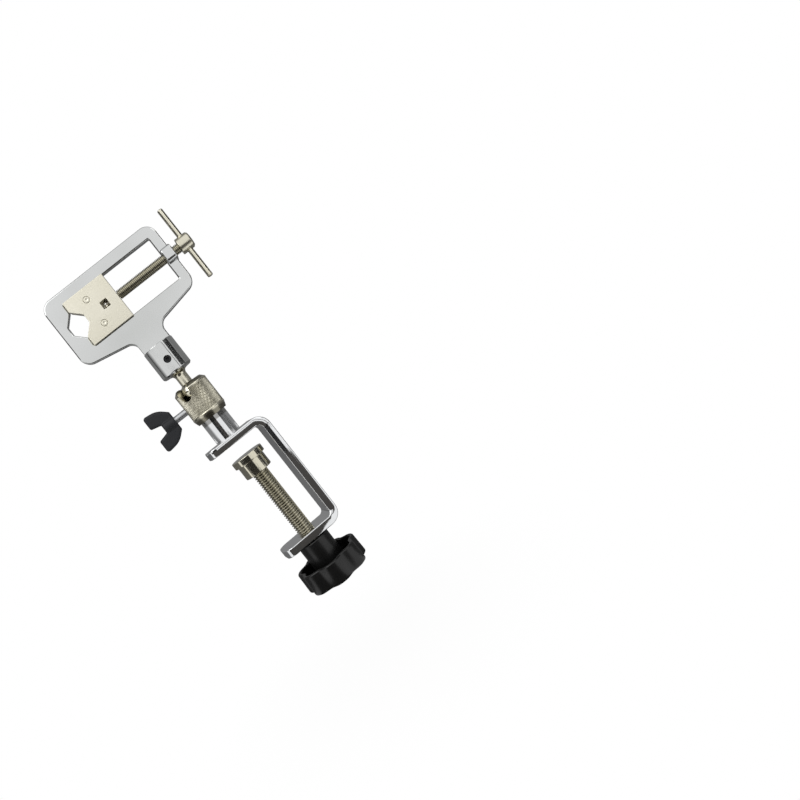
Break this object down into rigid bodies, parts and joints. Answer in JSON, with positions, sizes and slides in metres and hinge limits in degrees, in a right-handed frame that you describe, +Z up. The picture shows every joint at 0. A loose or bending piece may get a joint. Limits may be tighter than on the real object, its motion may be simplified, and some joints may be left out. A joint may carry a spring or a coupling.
{
  "type": "lock picking vise",
  "caption": "Small bench vise for a lock cylinder: a screw-driven V jaw in a flat frame, on a lockable ball joint over a C-shaped bench clamp.",
  "frame": {"origin": "on the axis of the post, at the underside of the clamp's top arm, which lies on the bench", "axes": "+Z up along the post towards the head, -Y out of the face of the head, +X towards the T bar; the clamp opens towards -X"},
  "size_m": [0.0941, 0.0403, 0.2307],
  "materials": {
    "chrome": "polished chrome plate",
    "satin_chrome": "satin chrome plate over a cast surface",
    "nickel": "warm nickel plate",
    "zinc": "dull zinc plate",
    "brass": "turned",
    "black_steel": "black oxide",
    "spring_steel": "plain spring steel",
    "wing_plastic": "matte moulded",
    "knob_plastic": "semi-gloss moulded"
  },
  "bodies": {
    "clamp": {"clamp_frame": "chrome", "clamp_post": "chrome"},
    "pad": {"clamp_pad": "nickel", "pad_ring": "spring_steel"},
    "clamp_screw": {"clamp_screw": "nickel", "clamp_knob": "knob_plastic", "knob_insert": "brass"},
    "collar": {"collar": "nickel"},
    "lock_slug": {"lock_slug": "brass"},
    "wing": {"wing_screw": "zinc", "wing_grip": "wing_plastic"},
    "ball_stud": {"ball_stud": "nickel"},
    "head": {"vise_frame": "satin_chrome", "stud_set_screw": "black_steel"},
    "jaw": {"jaw_block": "nickel", "jaw_front_plate": "nickel", "jaw_rear_plate": "nickel", "jaw_rivet_upper": "nickel", "jaw_rivet_lower": "nickel"},
    "jaw_screw": {"jaw_screw": "nickel", "t_bar": "nickel", "screw_clip": "spring_steel"}
  },
  "joints": [
    {"name": "pad_slide", "type": "slide", "parent": "clamp", "child": "pad", "axis": [0, 0, 1], "range_m": [-0.0435, 0]},
    {"name": "clamp_screw_turn", "type": "hinge", "parent": "pad", "child": "clamp_screw", "pos_m": [0.0013, 0, -0.0093], "axis": [0, 0, 1], "range_deg": [-10440, 0]},
    {"name": "collar_turn", "type": "hinge", "parent": "clamp", "child": "collar", "pos_m": [0, 0, 0.02], "axis": [0, 0, 1], "continuous": true},
    {"name": "lock_slide", "type": "slide", "parent": "collar", "child": "lock_slug", "axis": [-1, 0, 0], "range_m": [0, 0.0012]},
    {"name": "wing_turn", "type": "hinge", "parent": "lock_slug", "child": "wing", "pos_m": [0, 0, 0.0313], "axis": [-1, 0, 0], "range_deg": [0, 540]},
    {"name": "head_tilt", "type": "hinge", "parent": "collar", "child": "ball_stud", "pos_m": [0, 0, 0.0389], "axis": [0.8746, -0.4848, 0], "range_deg": [-20, 90]},
    {"name": "head_spin", "type": "hinge", "parent": "ball_stud", "child": "head", "pos_m": [0, 0, 0.0526], "axis": [0, 0, 1], "continuous": true},
    {"name": "jaw_slide", "type": "slide", "parent": "head", "child": "jaw", "axis": [1, 0, 0], "range_m": [0, 0.033]},
    {"name": "jaw_screw_turn", "type": "hinge", "parent": "jaw", "child": "jaw_screw", "pos_m": [0, 0, 0.1089], "axis": [1, 0, 0], "range_deg": [0, 11880]}
  ],
  "couplings": [
    {"joint": "clamp_screw_turn", "follows": "pad_slide", "rad_per_m": 4188.8},
    {"joint": "wing_turn", "follows": "lock_slide", "rad_per_m": 7854},
    {"joint": "jaw_screw_turn", "follows": "jaw_slide", "rad_per_m": 6283.2}
  ]
}
